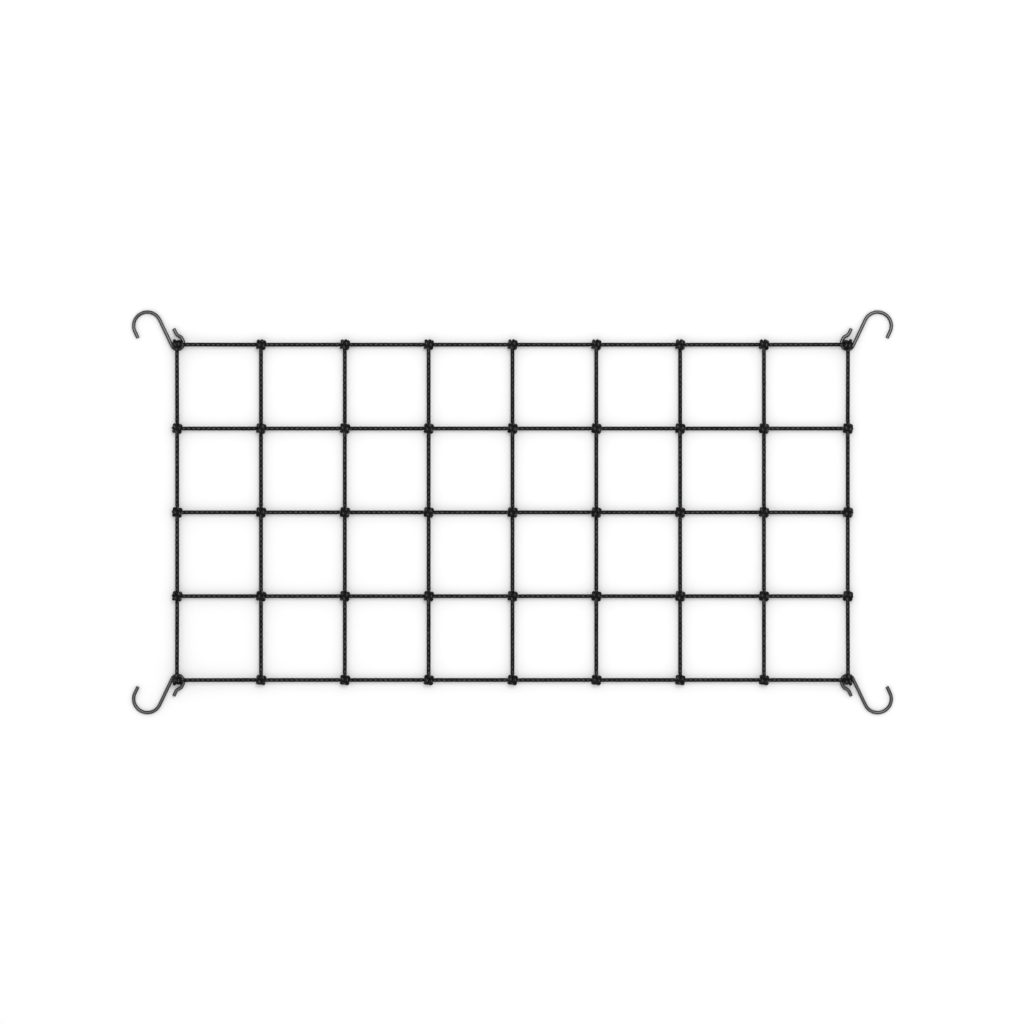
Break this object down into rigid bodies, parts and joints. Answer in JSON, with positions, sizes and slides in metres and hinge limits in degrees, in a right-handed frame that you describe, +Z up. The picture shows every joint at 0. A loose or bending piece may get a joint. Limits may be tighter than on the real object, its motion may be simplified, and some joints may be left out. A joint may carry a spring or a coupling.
{
  "type": "elastic net with hooks",
  "caption": "Flat rectangular net of elastic cord with square openings, knotted at every crossing, and an open wire hook at each corner to put over a rail or ring.",
  "frame": {"origin": "on the surface that the net lies on, under its middle", "axes": "+X along the long side, +Y along the short side from the front edge to the back edge, +Z up"},
  "size_m": [0.9232, 0.49, 0.0134],
  "materials": {
    "cord_sheath": "matte",
    "core_rubber": "matte",
    "hook_wire": "satin"
  },
  "bodies": {
    "panel_1": {"back_edge_cord_1": "cord_sheath", "front_edge_cord_1": "cord_sheath", "inner_long_cords_1": "cord_sheath", "rubber_cores_1": "core_rubber", "cross_cord_1": "cord_sheath"},
    "panel_2": {"back_edge_cord_2": "cord_sheath", "front_edge_cord_2": "cord_sheath", "inner_long_cords_2": "cord_sheath", "rubber_cores_2": "core_rubber", "cross_cord_2": "cord_sheath"},
    "panel_3": {"back_edge_cord_3": "cord_sheath", "front_edge_cord_3": "cord_sheath", "inner_long_cords_3": "cord_sheath", "rubber_cores_3": "core_rubber", "cross_cord_3": "cord_sheath"},
    "panel_4": {"back_edge_cord_4": "cord_sheath", "front_edge_cord_4": "cord_sheath", "inner_long_cords_4": "cord_sheath", "rubber_cores_4": "core_rubber", "cross_cord_4": "cord_sheath", "cross_cord_5": "cord_sheath"},
    "panel_5": {"back_edge_cord_5": "cord_sheath", "front_edge_cord_5": "cord_sheath", "inner_long_cords_5": "cord_sheath", "rubber_cores_5": "core_rubber", "cross_cord_6": "cord_sheath"},
    "panel_6": {"back_edge_cord_6": "cord_sheath", "front_edge_cord_6": "cord_sheath", "inner_long_cords_6": "cord_sheath", "rubber_cores_6": "core_rubber", "cross_cord_7": "cord_sheath"},
    "panel_7": {"back_edge_cord_7": "cord_sheath", "front_edge_cord_7": "cord_sheath", "inner_long_cords_7": "cord_sheath", "rubber_cores_7": "core_rubber", "cross_cord_8": "cord_sheath"},
    "panel_8": {"back_edge_cord_8": "cord_sheath", "front_edge_cord_8": "cord_sheath", "inner_long_cords_8": "cord_sheath", "rubber_cores_8": "core_rubber", "cross_cord_9": "cord_sheath"},
    "corner_back_left": {"corner_knot_back_left": "cord_sheath"},
    "hanger_back_left": {"hook_back_left": "hook_wire"},
    "corner_back_right": {"corner_knot_back_right": "cord_sheath"},
    "hanger_back_right": {"hook_back_right": "hook_wire"},
    "corner_front_left": {"corner_knot_front_left": "cord_sheath"},
    "hanger_front_left": {"hook_front_left": "hook_wire"},
    "corner_front_right": {"corner_knot_front_right": "cord_sheath"},
    "hanger_front_right": {"hook_front_right": "hook_wire"}
  },
  "joints": [
    {"name": "fold_at_cross_cord_2", "type": "hinge", "parent": "panel_2", "child": "panel_1", "pos_m": [-0.3048, 0, 0.0064], "axis": [0, -1, 0], "range_deg": [-135, 135]},
    {"name": "fold_at_cross_cord_3", "type": "hinge", "parent": "panel_3", "child": "panel_2", "pos_m": [-0.2032, 0, 0.0064], "axis": [0, 1, 0], "range_deg": [-135, 135]},
    {"name": "fold_at_cross_cord_4", "type": "hinge", "parent": "panel_4", "child": "panel_3", "pos_m": [-0.1016, 0, 0.0064], "axis": [0, -1, 0], "range_deg": [-135, 135]},
    {"name": "fold_at_cross_cord_5", "type": "hinge", "parent": "panel_4", "child": "panel_5", "pos_m": [0, 0, 0.0064], "axis": [0, -1, 0], "range_deg": [-135, 135]},
    {"name": "fold_at_cross_cord_6", "type": "hinge", "parent": "panel_5", "child": "panel_6", "pos_m": [0.1016, 0, 0.0064], "axis": [0, 1, 0], "range_deg": [-135, 135]},
    {"name": "fold_at_cross_cord_7", "type": "hinge", "parent": "panel_6", "child": "panel_7", "pos_m": [0.2032, 0, 0.0064], "axis": [0, -1, 0], "range_deg": [-135, 135]},
    {"name": "fold_at_cross_cord_8", "type": "hinge", "parent": "panel_7", "child": "panel_8", "pos_m": [0.3048, 0, 0.0064], "axis": [0, 1, 0], "range_deg": [-135, 135]},
    {"name": "tilt_back_left", "type": "hinge", "parent": "panel_1", "child": "corner_back_left", "pos_m": [-0.4064, 0.2032, 0.0067], "axis": [0.7071, 0.7071, 0], "range_deg": [0, 85]},
    {"name": "swing_back_left", "type": "hinge", "parent": "corner_back_left", "child": "hanger_back_left", "pos_m": [-0.4061, 0.2049, 0.00485], "axis": [-0.0337, 0.0337, 0.9989], "range_deg": [-60, 60]},
    {"name": "tilt_back_right", "type": "hinge", "parent": "panel_8", "child": "corner_back_right", "pos_m": [0.4064, 0.2032, 0.0067], "axis": [0.7071, -0.7071, 0], "range_deg": [0, 85]},
    {"name": "swing_back_right", "type": "hinge", "parent": "corner_back_right", "child": "hanger_back_right", "pos_m": [0.4061, 0.2049, 0.00485], "axis": [-0.0337, -0.0337, -0.9989], "range_deg": [-60, 60]},
    {"name": "tilt_front_left", "type": "hinge", "parent": "panel_1", "child": "corner_front_left", "pos_m": [-0.4064, -0.2032, 0.0067], "axis": [-0.7071, 0.7071, 0], "range_deg": [0, 85]},
    {"name": "swing_front_left", "type": "hinge", "parent": "corner_front_left", "child": "hanger_front_left", "pos_m": [-0.4061, -0.2049, 0.00485], "axis": [0.0337, 0.0337, -0.9989], "range_deg": [-60, 60]},
    {"name": "tilt_front_right", "type": "hinge", "parent": "panel_8", "child": "corner_front_right", "pos_m": [0.4064, -0.2032, 0.0067], "axis": [-0.7071, -0.7071, 0], "range_deg": [0, 85]},
    {"name": "swing_front_right", "type": "hinge", "parent": "corner_front_right", "child": "hanger_front_right", "pos_m": [0.4061, -0.2049, 0.00485], "axis": [0.0337, -0.0337, 0.9989], "range_deg": [-60, 60]}
  ]
}
